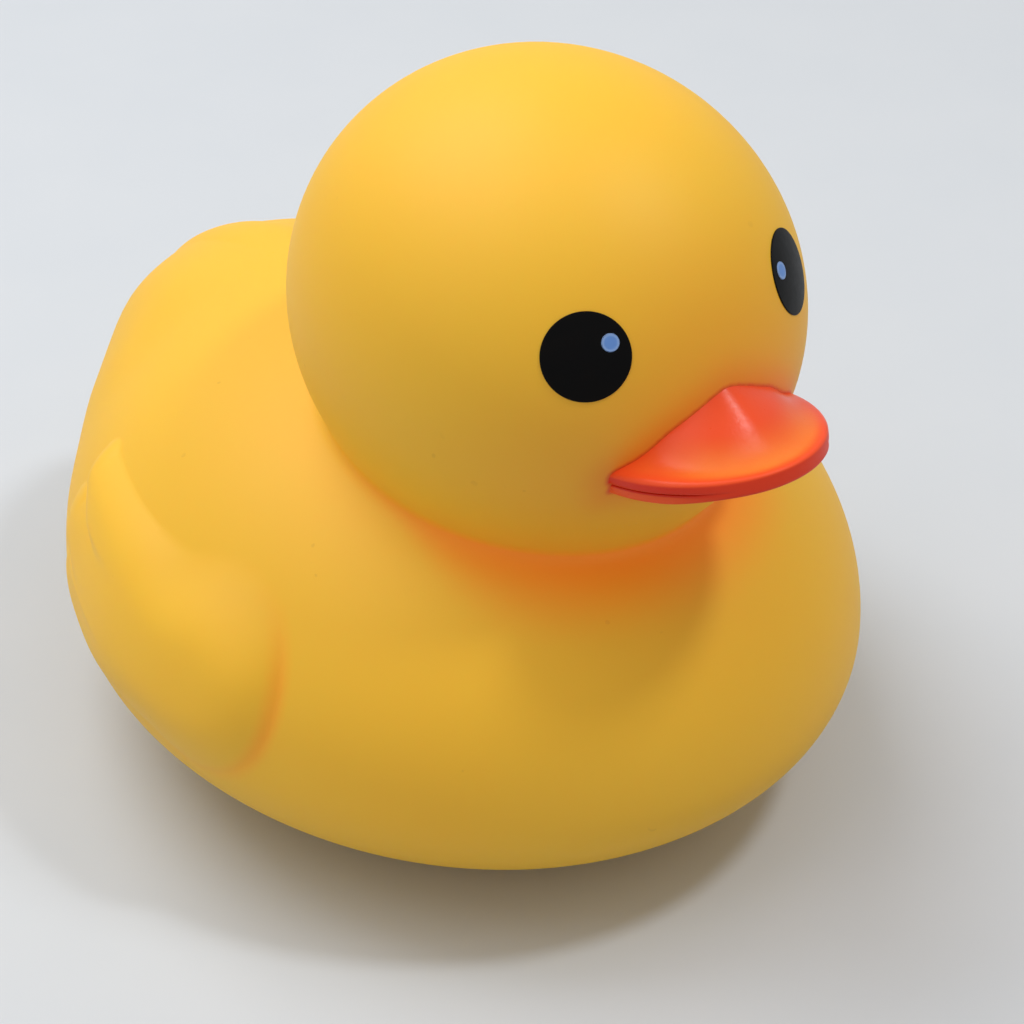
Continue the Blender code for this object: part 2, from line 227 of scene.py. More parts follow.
# %% Wing outline and lift
def feather_edge(back, up, tip):
    """Distance outside one feather in side view: a bar that narrows from the shoulder to its round tip."""
    tip_back, tip_height, tip_radius = tip
    length = math.hypot(tip_back - WING_SHOULDER_BACK, tip_height - WING_SHOULDER_HEIGHT)
    along_back = (tip_back - WING_SHOULDER_BACK) / length
    along_up = (tip_height - WING_SHOULDER_HEIGHT) / length
    narrowing = (FEATHER_ROOT_RADIUS - tip_radius) / length
    along = (back - WING_SHOULDER_BACK) * along_back + (up - WING_SHOULDER_HEIGHT) * along_up
    aside = np.abs((up - WING_SHOULDER_HEIGHT) * along_back - (back - WING_SHOULDER_BACK) * along_up)
    share = (along + aside * narrowing / math.sqrt(1 - narrowing**2)) / length
    share = np.clip(share, 0, 1)
    radius = FEATHER_ROOT_RADIUS + (tip_radius - FEATHER_ROOT_RADIUS) * share
    return np.hypot(along - share * length, aside) - radius


def wing_edge(back, up):
    """Distance outside the wing's whole outline in side view."""
    shoulder = np.hypot(back - WING_SHOULDER_BACK, up - WING_SHOULDER_HEIGHT) - WING_SHOULDER_RADIUS
    feathers = np.minimum.reduce([feather_edge(back, up, tip) for tip in FEATHER_TIPS])
    return blend(shoulder, feathers, WING_OUTLINE_BLEND)


def wing_lift(points):
    """How far the wings stand out of the flank: cushioned at the shoulder, stepped at the feathers."""
    back = points[:, 1]
    up = points[:, 2]
    tip_share = smooth_step(WING_SHOULDER_BACK, FEATHER_STEP_FULL, back)
    rounding = WING_FRONT_ROUNDING + (WING_TIP_ROUNDING - WING_FRONT_ROUNDING) * tip_share
    inward = np.clip(-wing_edge(back, up) / rounding, 0, 1)
    lift = WING_LIFT + (WING_TIP_LIFT - WING_LIFT) * tip_share
    stepping = smooth_step(FEATHER_STEP_START, FEATHER_STEP_FULL, back)
    for height in FEATHER_GROOVES:
        lift = lift - FEATHER_STEP * stepping * smooth_step(0, FEATHER_STEP_WIDTH, height - up)
    on_flank = smooth_step(TRUNK_HALF_WIDTH / 3, TRUNK_HALF_WIDTH * 0.6, np.abs(points[:, 0]))
    fade = smooth_step(WING_FADE_BOTTOM, WING_FADE_TOP, up)
    soft = smooth_step(WING_SOFT_BOTTOM, WING_SOFT_TOP, up)
    soft = soft * (1 - smooth_step(WING_SOFT_START, WING_SOFT_END, back))
    crisp_edge = 1 - (1 - inward) ** 3
    soft_edge = smooth_step(0, 1, inward)
    return lift * (crisp_edge + (soft_edge - crisp_edge) * soft) * on_flank * fade


def duck(points):
    """Below zero inside the duck without its bill, zero on its skin."""
    body = blend(trunk(points), tail(points), TAIL_ROOT_BLEND) - wing_lift(points) - tail_swell(points)
    whole = blend(body, head(points), NECK_BLEND)
    return -blend(-whole, points[:, 2], FOOT_BLEND)


trunk_middle = np.array([[0, -TRUNK_FORWARD, TRUNK_WIDEST_HEIGHT]])
print("The form in the middle of the trunk:", round(float(duck(trunk_middle)[0]), 4))

# %% [markdown]
# From formula to skin
# A formula has no faces yet. Marching cubes would give uneven triangles, which show in a soft highlight.
# A cube cut into an even grid and blown up onto the form gives neat four-sided faces, all facing outward.
# Where the form bends tightly, at the neck, the wings, the tail's notches and the root of the bill, the
# grid is cut again and fitted once more.

# %% Blow a cube up onto the form
CORE = np.array([0.0, -0.016, 0.060])
REACH = 0.3
HALVINGS = 30
SKIN_CUTS = 74
FINE_BAND = 0.003


def push_to_surface(mesh, form):
    """Slides each vertex along its ray from the core to where the form's surface is."""
    rays = np.array([vertex.co for vertex in mesh.verts]) - CORE
    rays /= np.linalg.norm(rays, axis=1)[:, None]
    near = np.zeros(len(rays))
    far = np.full(len(rays), REACH)
    for _ in range(HALVINGS):
        middle = (near + far) / 2
        inside = form(CORE + rays * middle[:, None]) < 0
        near = np.where(inside, middle, near)
        far = np.where(inside, far, middle)
    for vertex, place in zip(mesh.verts, CORE + rays * near[:, None]):
        vertex.co = place


def blown_form(form, cuts, refinements):
    """A cube cut into a grid and blown up onto the form, cut again where each refinement asks."""
    mesh = bmesh.new()
    bmesh.ops.create_cube(mesh, size=2)
    bmesh.ops.subdivide_edges(mesh, edges=mesh.edges[:], cuts=cuts, use_grid_fill=True)
    for vertex in mesh.verts:
        even = Vector([math.tan(value * math.pi / 4) for value in vertex.co])
        vertex.co = Vector(CORE) + even
    push_to_surface(mesh, form)
    for refine in refinements:
        centres = np.array([face.calc_center_median() for face in mesh.faces])
        chosen = [face for face, fine in zip(mesh.faces, refine(centres)) if fine]
        edges = {edge for face in chosen for edge in face.edges}
        bmesh.ops.subdivide_edges(mesh, edges=list(edges), cuts=1, use_grid_fill=True)
        push_to_surface(mesh, form)
    bmesh.ops.recalc_face_normals(mesh, faces=mesh.faces[:])
    return mesh


def on_wing(points):
    """Faces on a wing or just round it."""
    on_side = np.abs(points[:, 0]) > TRUNK_HALF_WIDTH / 3
    return on_side & (wing_edge(points[:, 1], points[:, 2]) < WING_TIP_ROUNDING / 2)


def on_step(points):
    """Faces on a wing's edge or in its grooves, where the feathers are stepped."""
    back = points[:, 1]
    grooves = [np.abs(height - FEATHER_STEP_WIDTH / 2 - points[:, 2]) for height in FEATHER_GROOVES]
    edge = np.abs(wing_edge(back, points[:, 2]))
    stepped = np.minimum.reduce(grooves + [edge]) < FEATHER_STEP_WIDTH
    return on_wing(points) & stepped & (back > FEATHER_STEP_START) & (points[:, 2] > WING_FADE_BOTTOM)


def in_crease(points):
    """Faces near both the head and the trunk."""
    return np.maximum(head(points), trunk(points)) < FINE_BAND


def at_detail(points):
    """Faces in the neck's crease, on the tail's notches or round the root of the bill."""
    aside = np.abs(points[:, 0])
    behind = (points[:, 1] > TAIL_SWELL_START) & (points[:, 2] > TAIL_SWELL_BOTTOM)
    notched = behind & (aside < TAIL_NOTCH_OUT * 3)
    across = points[:, 0] / (BILL_HALF_WIDTH + FINE_BAND)
    forward = (points[:, 1] + BILL_CENTRE_FORWARD) / (BILL_HALF_LENGTH + FINE_BAND)
    up = points[:, 2] - BILL_CENTRE_HEIGHT
    level = (up > -BILL_RIDGE_RISE) & (up < BILL_RIDGE_RISE + FINE_BAND)
    rooted = level & (across**2 + forward**2 < 1)
    return notched | rooted | in_crease(points)


skin_mesh = blown_form(duck, SKIN_CUTS, (on_wing, at_detail, on_step, at_detail))
print("Faces in the skin:", len(skin_mesh.faces))

# %% [markdown]
# The vent
# A hollow casting needs a hole, so that it floats and squeezes. It is under the duck, where the photo can't
# show it, so it is plain: one round hole in the flat foot. A dark dot could be painted there, but a cut has
# a true edge in raking light, and the Boolean modifier makes it in one step.

# %% Make the skin an object and cut the vent
VENT_RADIUS = 0.0025
VENT_BACK = 0.022
VENT_DEPTH = 0.008
VENT_STEPS = 64
SHARP_ANGLE = math.radians(60)


def object_from(mesh, name):
    """A smooth shaded object from a bmesh, which is used up."""
    data = bpy.data.meshes.new(name)
    mesh.to_mesh(data)
    mesh.free()
    data.shade_smooth()
    made = bpy.data.objects.new(name, data)
    bpy.context.scene.collection.objects.link(made)
    return made


def cut_vent(piece):
    cutter_mesh = bmesh.new()
    bmesh.ops.create_cone(
        cutter_mesh,
        cap_ends=True,
        segments=VENT_STEPS,
        radius1=VENT_RADIUS,
        radius2=VENT_RADIUS,
        depth=VENT_DEPTH * 2,
        matrix=Matrix.Translation((0, VENT_BACK, 0)),
    )
    cutter = object_from(cutter_mesh, "vent_cutter")
    step = piece.modifiers.new("vent", "BOOLEAN")
    step.operation = "DIFFERENCE"
    step.solver = "EXACT"
    step.object = cutter
    graph = bpy.context.evaluated_depsgraph_get()
    cut = bpy.data.meshes.new_from_object(piece.evaluated_get(graph))
    piece.modifiers.clear()
    piece.data = cut
    bpy.data.objects.remove(cutter, do_unlink=True)


skin = object_from(skin_mesh, "vinyl_skin")
cut_vent(skin)
skin.data.shade_smooth()
skin.data.set_sharp_from_angle(angle=SHARP_ANGLE)
print("Skin with its vent:", len(skin.data.polygons), "faces")

# %% [markdown]
# The bill
# The real bill is cast with the head and then sprayed. It is a flat oval lip with a ridge that runs down
# from the forehead, a shallow dish on each side of the ridge, a rim, and a line for the mouth.
# A lofted surface could do it. A disc of rings, each ring raised by a formula, keeps the rim perfectly even
# and puts all of its fine faces where the rim and the mouth bend. Its back half stays hidden in the head.

# %% Sizes of the bill
BILL_TILT = math.radians(13.4)
BILL_RIDGE_RUN = 0.95
BILL_RIDGE_ROUNDING = 0.13
BILL_DISH_DEPTH = 0.0008
BILL_DISH_MIDDLE = 0.80
BILL_DISH_WIDTH = 0.20
LIP_THICKNESS = 0.0018
LIP_ROUNDING = 0.0006
LOWER_BILL_THICKNESS = 0.0017
LOWER_BILL_INSET = 0.0005
MOUTH_FADE_START = 0.45
MOUTH_FADE_END = 0.90
MOUTH_CLOSED_SHARE = 0.6
MOUTH_DEPTH = 0.0006
MOUTH_GAP = 0.0003
MOUTH_SLOPE_SHARE = 0.3
BILL_STEPS = 220
BILL_TOP_RINGS = 46
BILL_TOP_END = 0.955
BILL_UNDER_RINGS = (0.8, 0.5, 0.2)
BILL_SMALLEST_RING = 0.004
RIDGE_ENDS_BELOW = 0.0005
print("Bill tilted", round(math.degrees(BILL_TILT)), "degrees up")

# %% Rings of the bill, from the middle of its top round the rim to the middle of its underside
def bill_top(across, forward):
    """Height of the bill's upper face over the plane of its lip, from shares of its half sizes."""
    half = np.sqrt(np.maximum(1 - forward**2, 1e-6))
    aside = np.clip(np.abs(across) / half, 0, 1)
    ridge = BILL_RIDGE_RISE * smooth_step(0, BILL_RIDGE_RUN, 1 - forward)
    falling = np.hypot(aside, BILL_RIDGE_ROUNDING) - BILL_RIDGE_ROUNDING
    ridge *= 1 - falling / (math.hypot(1, BILL_RIDGE_ROUNDING) - BILL_RIDGE_ROUNDING)
    out = np.hypot(across, forward)
    bowl = np.clip(1 - ((out - BILL_DISH_MIDDLE) / BILL_DISH_WIDTH) ** 2, 0, 1)
    return ridge - BILL_DISH_DEPTH * bowl**2


def quarter_round(share, height, radius, start, steps=6):
    """Points on a quarter circle round (share, height), in metres of inset from the rim and of height."""
    angles = [math.radians(start - 90 * step / steps) for step in range(steps + 1)]
    return [(share + radius * math.cos(angle), height + radius * math.sin(angle)) for angle in angles]


def bill_profile():
    """(distance from the rim, height) of each ring, first with the mouth open and then with it closed."""
    mouth = LIP_THICKNESS + MOUTH_GAP
    bottom = mouth + LOWER_BILL_THICKNESS
    closed_bottom = mouth + LOWER_BILL_THICKNESS * MOUTH_CLOSED_SHARE
    edge = LIP_ROUNDING / 2
    top_shares = np.linspace(0, BILL_TOP_END, BILL_TOP_RINGS)
    upper = [(-BILL_HALF_WIDTH * (1 - share), 0) for share in top_shares]
    upper += quarter_round(-LIP_ROUNDING, -LIP_ROUNDING, LIP_ROUNDING, 90)
    groove = quarter_round(-edge, -LIP_THICKNESS + edge, edge, 0, 4)
    deep = LOWER_BILL_INSET + MOUTH_DEPTH
    groove += [(-deep, -LIP_THICKNESS - MOUTH_GAP * MOUTH_SLOPE_SHARE), (-deep, -mouth)]
    groove += quarter_round(-LOWER_BILL_INSET - edge, -mouth - edge, edge, 90, 4)
    closed_heights = np.linspace(-LIP_THICKNESS + edge, -mouth - edge, len(groove))
    closed_groove = [(0, height) for height in closed_heights]
    lower = quarter_round(-LOWER_BILL_INSET - edge, -bottom + edge, edge, 0, 4)
    closed_lower = quarter_round(-edge * 2, -closed_bottom + edge * 2, edge * 2, 0, 4)
    under = [(-BILL_HALF_WIDTH * (1 - share), -bottom) for share in BILL_UNDER_RINGS]
    closed_under = [(inset, -closed_bottom) for inset, height in under]
    opened = upper + groove + lower + under
    closed = upper + closed_groove + closed_lower + closed_under
    return list(zip(opened, closed))


rings = bill_profile()
print("Rings of the bill:", len(rings))

# %% [markdown]
# Rings to a mesh
# The rings could be spun with the Screw modifier, but the ridge has to be added to them afterwards anyway.
# So the vertices of each ring are worked out as numbers, and the faces between rings are joined in order.

# %% Build the bill
BILL_MOVE = Matrix.Translation((0, -BILL_CENTRE_FORWARD, BILL_CENTRE_HEIGHT))
BILL_PLACE = BILL_MOVE @ Matrix.Rotation(-BILL_TILT, 4, "X")


def faces_of_rings(rings, steps):
    """Quads between neighbouring rings, and one face at each end."""
    faces = [list(range(steps))]
    for ring in range(rings - 1):
        first = ring * steps
        for step in range(steps):
            after = (step + 1) % steps
            faces.append([first + step, first + steps + step, first + steps + after, first + after])
    last = (rings - 1) * steps
    faces.append([last + step for step in reversed(range(steps))])
    return faces


def ringed_object(name, vertices, rings, steps):
    """A closed object from its rings' vertices, ring after ring."""
    data = bpy.data.meshes.new(name)
    data.from_pydata([tuple(place) for place in vertices], [], faces_of_rings(rings, steps))
    mesh = bmesh.new()
    mesh.from_mesh(data)
    bpy.data.meshes.remove(data)
    bmesh.ops.recalc_face_normals(mesh, faces=mesh.faces[:])
    return object_from(mesh, name)


turns = np.linspace(0, math.tau, BILL_STEPS, endpoint=False)
bill_vertices = []
closing = smooth_step(MOUTH_FADE_START, MOUTH_FADE_END, np.sin(turns))
for (inset, height), (closed_inset, closed_height) in rings:
    insets = inset + (closed_inset - inset) * closing
    share = np.maximum(1 + insets / BILL_HALF_WIDTH, BILL_SMALLEST_RING)
    across = share * np.cos(turns)
    forward = share * np.sin(turns)
    heights = height + (closed_height - height) * closing
    if height > -RIDGE_ENDS_BELOW:
        heights = heights + bill_top(across, forward)
    for x, y, z in zip(across * BILL_HALF_WIDTH, -forward * BILL_HALF_LENGTH, heights):
        bill_vertices.append(BILL_PLACE @ Vector((x, y, z)))
bill = ringed_object("painted_bill", bill_vertices, len(rings), BILL_STEPS)
bill.data.set_sharp_from_angle(angle=SHARP_ANGLE)
print("Bill faces:", len(bill.data.polygons))

# %% [markdown]
# The eyes
# Each eye is a round print on the head, and on it a small pale dot towards the bill. The print could be a
# mask in the skin's material, but a mask has no edge of its own. A film a fifth of a millimetre thick,
# wrapped on the head, has the faint rim that the ink has.

# %% Sizes and places of the prints
EYE_RADIUS = 0.0073
EYE_SIDE_ANGLE = math.radians(34.8)
EYE_LIFT_ANGLE = math.radians(20.8)
EYE_DOT_RADIUS = 0.0015
EYE_DOT_INWARD = 0.0038
EYE_DOT_UP = 0.00225
EYE_FILM = 0.0002
EYE_DOT_FILM = 0.0003
PRINT_ROOT = 0.0004
PRINT_STEPS = 96
PRINT_RINGS = 16
PRINT_INNERMOST = 0.01
PRINT_OUTERMOST = 0.97
PRINT_CORNER = 0.3


def eye_frame(side):
    """The eye's middle on the head, and the directions towards the bill and towards the top."""
    level = math.cos(EYE_LIFT_ANGLE)
    aside = side * math.sin(EYE_SIDE_ANGLE) * level
    normal = Vector((aside, -math.cos(EYE_SIDE_ANGLE) * level, math.sin(EYE_LIFT_ANGLE)))
    stretched = Vector(HEAD_REACHES) * normal
    middle = Vector(HEAD_CENTRE) + Vector(HEAD_REACHES) * stretched / stretched.length
    to_bill = Vector((0, 0, -side)).cross(normal).normalized()
    return middle, to_bill, to_bill.cross(normal) * side


def on_head(place, height):
    """The point of the head's skin on the ray from its centre through place, raised by height."""
    ray = Vector(place) - Vector(HEAD_CENTRE)
    scaled = Vector([value / reach for value, reach in zip(ray, HEAD_REACHES)])
    return Vector(HEAD_CENTRE) + ray / scaled.length + ray.normalized() * height


def print_on_head(name, side, inward, up, radius, film):
    """A round film on the head, from rings that run over its top and down its edge into the vinyl."""
    middle, to_bill, to_top = eye_frame(side)
    rounding = film / 2
    corner = rounding * PRINT_CORNER
    shares = np.linspace(PRINT_INNERMOST, PRINT_OUTERMOST, PRINT_RINGS)
    profile = [(radius * share, film) for share in shares]
    profile += [(radius - rounding, film), (radius - corner, film - corner), (radius, film - rounding)]
    profile += [(radius, -PRINT_ROOT), (radius / 2, -PRINT_ROOT)]
    vertices = []
    for distance, height in profile:
        for turn in np.linspace(0, math.tau, PRINT_STEPS, endpoint=False):
            beside = to_bill * (distance * math.cos(turn) + inward)
            above = to_top * (distance * math.sin(turn) + up)
            vertices.append(on_head(middle + beside + above, height))
    return ringed_object(name, vertices, len(profile), PRINT_STEPS)


eyes = []
dots = []
for side, name in ((-1, "right"), (1, "left")):
    eyes.append(print_on_head(f"{name}_eye_print", side, 0, 0, EYE_RADIUS, EYE_FILM))
    dot = f"{name}_eye_dot"
    dots.append(print_on_head(dot, side, EYE_DOT_INWARD, EYE_DOT_UP, EYE_DOT_RADIUS, EYE_DOT_FILM))
print("Eye middle:", [round(value, 4) for value in eye_frame(-1)[0]])

# %% [markdown]
# How far the spray and the bill's light reach
# The bill is sprayed through a mask that is laid on the head, and a little paint always creeps under it.
# The orange light that the bill throws on the head and breast, and a glow round its root, are painted on as
# well, as painted bounce light. So the skin has to know how far each of its points is from the bill. The
# distance is measured once, from the bill's faces, and kept on the skin's vertices, where the material
# reads it.

# %% Measure the gap between skin and bill
# how far the gap is measured, and how far the bill's painted orange light reaches
BILL_GAP_REACH = 0.030


def keep(piece, name, values):
    """Stores one number for each vertex of the piece, for its material to read."""
    kept = piece.data.attributes.new(name, "FLOAT", "POINT")
    kept.data.foreach_set("value", values)


def keep_gap(piece, other):
    """Keeps on the piece how far each of its vertices is from the other piece's faces."""
    corners = [vertex.co for vertex in other.data.vertices]
    tree = BVHTree.FromPolygons(corners, [face.vertices for face in other.data.polygons])
    found = [tree.find_nearest(vertex.co, BILL_GAP_REACH)[3] for vertex in piece.data.vertices]
    gaps = np.array([BILL_GAP_REACH if gap is None else gap for gap in found])
    keep(piece, "bill_gap", gaps)
    return gaps


gaps = keep_gap(skin, bill)
print("Skin points within 2 mm of the bill:", int((gaps < 0.002).sum()))

# %% [markdown]
# How deep a point lies in the neck's fold
# In the fold the two yellow walls light each other, and light that went through the thin shell comes out
# there. Bounced light alone comes out too brown, so an orange is painted into the fold as painted bounce
# light and painted shade, widest on the breast below the bill, where the head's shadow falls, and along the
# front edge of each wing, with a faint painted glow. The forms give each point's distance from the head and
# from the trunk, and the larger of the two says how far it is from the fold.

# %% Measure the fold under the head
FOLD_REACH_HEAD = 0.0035
FOLD_REACH_NECK = 0.0035
FOLD_REACH_BREAST = 0.0175
FOLD_BREAST_START = 0.028
FOLD_BREAST_FULL = 0.062
FOLD_TURN = 0.001
FOLD_STRONG_FROM = 0.045
FOLD_WING_REACH = 0.0022
FOLD_WING_FROM = 0.020
FOLD_WING_SHARE = 0.5


def keep_painted_fold(piece):
    """Share of painted orange light and shade: 1 in the bottom of the fold, down to 0 outside its reach,
    which is widest on the breast.
    """
    places = np.array([vertex.co for vertex in piece.data.vertices])
    from_head = head(places)
    from_trunk = np.minimum(trunk(places), tail(places))
    breast = smooth_step(FOLD_BREAST_START, FOLD_BREAST_FULL, -places[:, 1])
    reach = FOLD_REACH_NECK + (FOLD_REACH_BREAST - FOLD_REACH_NECK) * breast
    on_trunk = smooth_step(-FOLD_TURN, FOLD_TURN, from_head - from_trunk)
    reach = FOLD_REACH_HEAD + (reach - FOLD_REACH_HEAD) * on_trunk
    painted_fold_shares = 1 - smooth_step(0, 1, np.maximum(from_head, from_trunk) / reach)
    painted_fold_shares = painted_fold_shares * smooth_step(0, FOLD_STRONG_FROM, -places[:, 1])
    # painted glow and shade also along the front edge of each wing
    beside_wing = 1 - smooth_step(0, FOLD_WING_REACH, np.abs(wing_edge(places[:, 1], places[:, 2])))
    beside_wing = beside_wing * smooth_step(0, FOLD_WING_FROM, -places[:, 1])
    beside_wing = beside_wing * (1 - smooth_step(WING_SOFT_BOTTOM, WING_SOFT_TOP, places[:, 2]))
    low_end = smooth_step(WING_FADE_BOTTOM, WING_FADE_TOP, places[:, 2])
    beside_wing = beside_wing * low_end * (np.abs(places[:, 0]) > TRUNK_HALF_WIDTH / 3)
    painted_fold_shares = np.maximum(painted_fold_shares, beside_wing * FOLD_WING_SHARE)
    keep(piece, "fold", painted_fold_shares)
    return painted_fold_shares


painted_fold_shares = keep_painted_fold(skin)
print("Skin points deep in the fold:", int((painted_fold_shares > 0.5).sum()))

# %% [markdown]
# Materials as sums
# A material is a sum of small ideas: a colour, less where the film is thin, more where the spray crept.
# Wired by hand, each sum is a Math node and two links. The small class below wraps one socket, so that the
# sums can be written as Python, and the second one holds a material and adds every other kind of node.

# %% Sockets that can be added and multiplied
class Wire:
    """An output socket; each sum with it adds the Math node that works it out."""

    def __init__(self, finish, socket):
        self.finish = finish
        self.socket = socket

    def sum(self, operation, first, second):
        node = self.finish.node("ShaderNodeMath", {"operation": operation}, {0: first, 1: second})
        return Wire(self.finish, node.outputs[0])

    def __add__(self, other):
        return self.sum("ADD", self, other)

    def __radd__(self, other):
        return self.sum("ADD", other, self)

    def __sub__(self, other):
        return self.sum("SUBTRACT", self, other)

    def __rsub__(self, other):
        return self.sum("SUBTRACT", other, self)

    def __mul__(self, other):
        return self.sum("MULTIPLY", self, other)

    def __truediv__(self, other):
        return self.sum("DIVIDE", self, other)

    def __pow__(self, power):
        return self.sum("POWER", self, power)


class Finish:
    """One material, with its shader and the nodes that feed it."""

    def __init__(self, name):
        self.material = bpy.data.materials.new(name)
        self.material.use_nodes = True
        self.tree = self.material.node_tree
        self.shader = self.tree.nodes["Principled BSDF"]

    def node(self, kind, settings, values):
        """Adds a node: its settings first, then what each of its sockets holds or is linked to."""
        made = self.tree.nodes.new(kind)
        for name, value in settings.items():
            setattr(made, name, value)
        for key, value in values.items():
            self.feed(made.inputs[key], value)
        return made

    def feed(self, socket, value):
        if isinstance(value, Wire):
            self.tree.links.new(value.socket, socket)
        else:
            socket.default_value = value

    def set(self, **values):
        """Feeds the shader's sockets: base_color is the socket Base Color, and so on."""
        for name, value in values.items():
            self.feed(self.shader.inputs[name.replace("_", " ").title().replace("Ior", "IOR")], value)

    def place(self):
        return Wire(self, self.node("ShaderNodeTexCoord", {}, {}).outputs["Object"])

    def axes(self):
        split = self.node("ShaderNodeSeparateXYZ", {}, {0: self.place()})
        return [Wire(self, socket) for socket in split.outputs]

    def kept(self, name):
        """The number that the mesh keeps on its vertices under this name."""
        return Wire(self, self.node("ShaderNodeAttribute", {"attribute_name": name}, {}).outputs["Fac"])

    def noise(self, scale, detail):
        values = {"Vector": self.place(), "Scale": scale, "Detail": detail}
        return Wire(self, self.node("ShaderNodeTexNoise", {}, values).outputs[0])

    def ease(self, value, low, high):
        """From 0 where value is at low to 1 where it is at high, softly."""
        settings = {"interpolation_type": "SMOOTHSTEP"}
        values = {"Value": value, "From Min": low, "From Max": high}
        return Wire(self, self.node("ShaderNodeMapRange", settings, values).outputs[0])

    def mix(self, share, first, second):
        made = self.node("ShaderNodeMix", {"data_type": "RGBA"}, {0: share, 6: first, 7: second})
        return Wire(self, made.outputs[2])

    def bump(self, height, depth, strength):
        values = {"Strength": strength, "Distance": depth, "Height": height}
        return Wire(self, self.node("ShaderNodeBump", {}, values).outputs[0])


def light_of(value):
    """The light that a screen sends for a value from 0 to 255."""
    share = value / 255
    return share / 12.92 if share <= 0.04045 else ((share + 0.055) / 1.055) ** 2.4


def colour(red, green, blue):
    """A colour as it looks on a screen, turned into the light it sends back."""
    return [light_of(red), light_of(green), light_of(blue), 1]


print("Half of a screen's white, as light:", round(light_of(127.5), 3))

# %% [markdown]
# The vinyl
# The casting is satin: the lamps show in it as broad soft glows with no edge. Some light also goes into the
# vinyl and comes out warmer. A flat yellow would look like painted metal. So the shader scatters a little
# light under the skin, the yellow drifts by a few hundredths as the pigment does, the gloss is a little
# uneven from handling, and a few tiny specks are cast in. The fold gets a painted orange for the light that
# bounces in it and the shade on the breast, and a faint painted glow for light that came through the shell.
# Near the bill, a painted orange for the light that the bill throws on the skin, a painted glow round its
# root and the crept paint are mixed in from the gap.

# %% Yellow vinyl
VINYL_YELLOW = colour(254, 199, 54)
VINYL_WARM = colour(253, 190, 46)
SPECK_BROWN = colour(190, 130, 40)
SPRAY_RED = colour(232, 62, 28)
# painted orange light that the bill throws on the skin
PAINTED_BOUNCE_ORANGE = colour(246, 118, 34)
# painted orange bounce light and shade for the fold, and the fold's faint painted glow
PAINTED_FOLD_ORANGE = colour(254, 132, 28)
NO_GLOW = (0.0, 0.0, 0.0, 1)
PAINTED_FOLD_GLOW = (0.13, 0.014, 0.0, 1)
VINYL_SCATTER_DEPTH = 0.003
DRIFT_TINT = 0.35
SPECK_TINT = 0.18
# share of painted light and shade in the fold
PAINTED_FOLD_TINT = 0.62
# shares and reach of painted light from the bill and of the painted glow round its root
PAINTED_BOUNCE_TINT = 0.26
PAINTED_ROOT_GLOW_TINT = 0.40
PAINTED_ROOT_GLOW_REACH = 0.008
CREEP_TINT = 0.8
CREEP_REACH = 0.0008
CREEP_RAGGED = 0.0004


def vinyl():
    finish = Finish("yellow_vinyl")
    drift = finish.ease(finish.noise(14.0, 3.0), 0.35, 0.7)
    yellow = finish.mix(drift * DRIFT_TINT, VINYL_YELLOW, VINYL_WARM)
    specks = finish.ease(finish.noise(520.0, 0.0), 0.82, 0.86)
    specks = specks * finish.ease(finish.noise(60.0, 0.0), 0.60, 0.68)
    yellow = finish.mix(specks * SPECK_TINT, yellow, SPECK_BROWN)
    # painted orange bounce light and painted shade in the neck's fold and on the breast
    fold = finish.kept("fold")
    yellow = finish.mix(fold * PAINTED_FOLD_TINT, yellow, PAINTED_FOLD_ORANGE)
    gap = finish.kept("bill_gap")
    # painted orange light that the bill throws on the head and breast
    painted_bounce = 1 - finish.ease(gap, 0.0, BILL_GAP_REACH)
    yellow = finish.mix(painted_bounce * PAINTED_BOUNCE_TINT, yellow, PAINTED_BOUNCE_ORANGE)
    # painted glow round the bill's root
    painted_root_glow = 1 - finish.ease(gap, 0.0, PAINTED_ROOT_GLOW_REACH)
    yellow = finish.mix(painted_root_glow * painted_root_glow * PAINTED_ROOT_GLOW_TINT, yellow, PAINTED_BOUNCE_ORANGE)
    ragged = gap + (finish.noise(900.0, 2.0) - 0.5) * CREEP_RAGGED
    crept = 1 - finish.ease(ragged, 0.0, CREEP_REACH)
    yellow = finish.mix(crept * CREEP_TINT, yellow, SPRAY_RED)
    handled = finish.noise(35.0, 4.0)
    grain = finish.noise(2600.0, 1.0)
    finish.set(
        base_color=yellow,
        roughness=0.50 + handled * 0.08,
        specular_ior_level=0.4,
        normal=finish.bump(grain, 0.00002, 0.35),
        subsurface_weight=0.12,
        subsurface_radius=(1.0, 0.30, 0.05),
        subsurface_scale=VINYL_SCATTER_DEPTH,
        # a faint painted glow in the fold
        emission_color=finish.mix(fold, NO_GLOW, PAINTED_FOLD_GLOW),
        emission_strength=1.0,
        metallic=0.0,
    )
    return finish.material


skin.data.materials.clear()
skin.data.materials.append(vinyl())
print("Triangles of the skin:", sum(len(face.vertices) - 2 for face in skin.data.polygons))
print("Vinyl nodes:", len(skin.data.materials[0].node_tree.nodes))

# %% [markdown]
# The paint of the bill
# The paint is a thin sprayed film. It is a deeper red on the rim and round the ridge, and a lighter orange
# on the outer part of the dishes, most of all towards the front. It could be one red with a gloss, but
# those drifts are most of what the eye sees there. They are worked out from the place in the bill's own
# plane: how far out towards the rim, and how far above or below the lip.

# %% Bill paint
PAINT_RED = colour(255, 86, 38)
PAINT_DISH_ORANGE = colour(255, 142, 52)
PAINT_RIM = colour(224, 44, 24)
PAINT_LOWER = colour(252, 98, 40)
RIM_PAINT_STARTS = -0.0002
RIM_PAINT_FULL = -0.0007
LOWER_PAINT_STARTS = -0.0023
LOWER_PAINT_FULL = -0.0026


